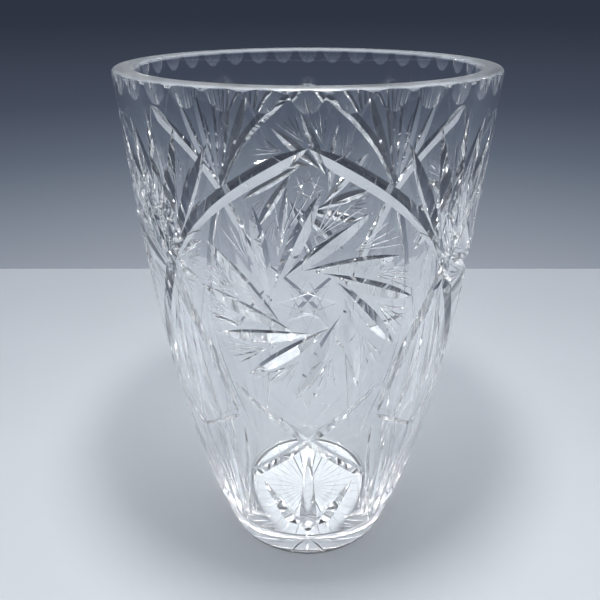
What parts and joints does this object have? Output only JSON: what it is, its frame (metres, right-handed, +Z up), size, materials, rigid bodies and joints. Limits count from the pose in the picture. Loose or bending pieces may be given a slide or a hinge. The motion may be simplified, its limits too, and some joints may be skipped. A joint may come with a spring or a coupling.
{
  "type": "cut crystal vase",
  "caption": "Tall tapered cut crystal vase with a scalloped rim, pinwheel panels under pointed arches, and a heavy solid base.",
  "frame": {"origin": "centre of the foot's underside, on the surface the vase stands on", "axes": "+Z up along the vase's axis of turning, and -Y through the middle of one of its four pinwheel panels"},
  "size_m": [0.1664, 0.1664, 0.254],
  "materials": {
    "crystal": "clear polished lead crystal with wheel-cut facets"
  },
  "bodies": {
    "root": {"vase": "crystal"}
  },
  "joints": []
}
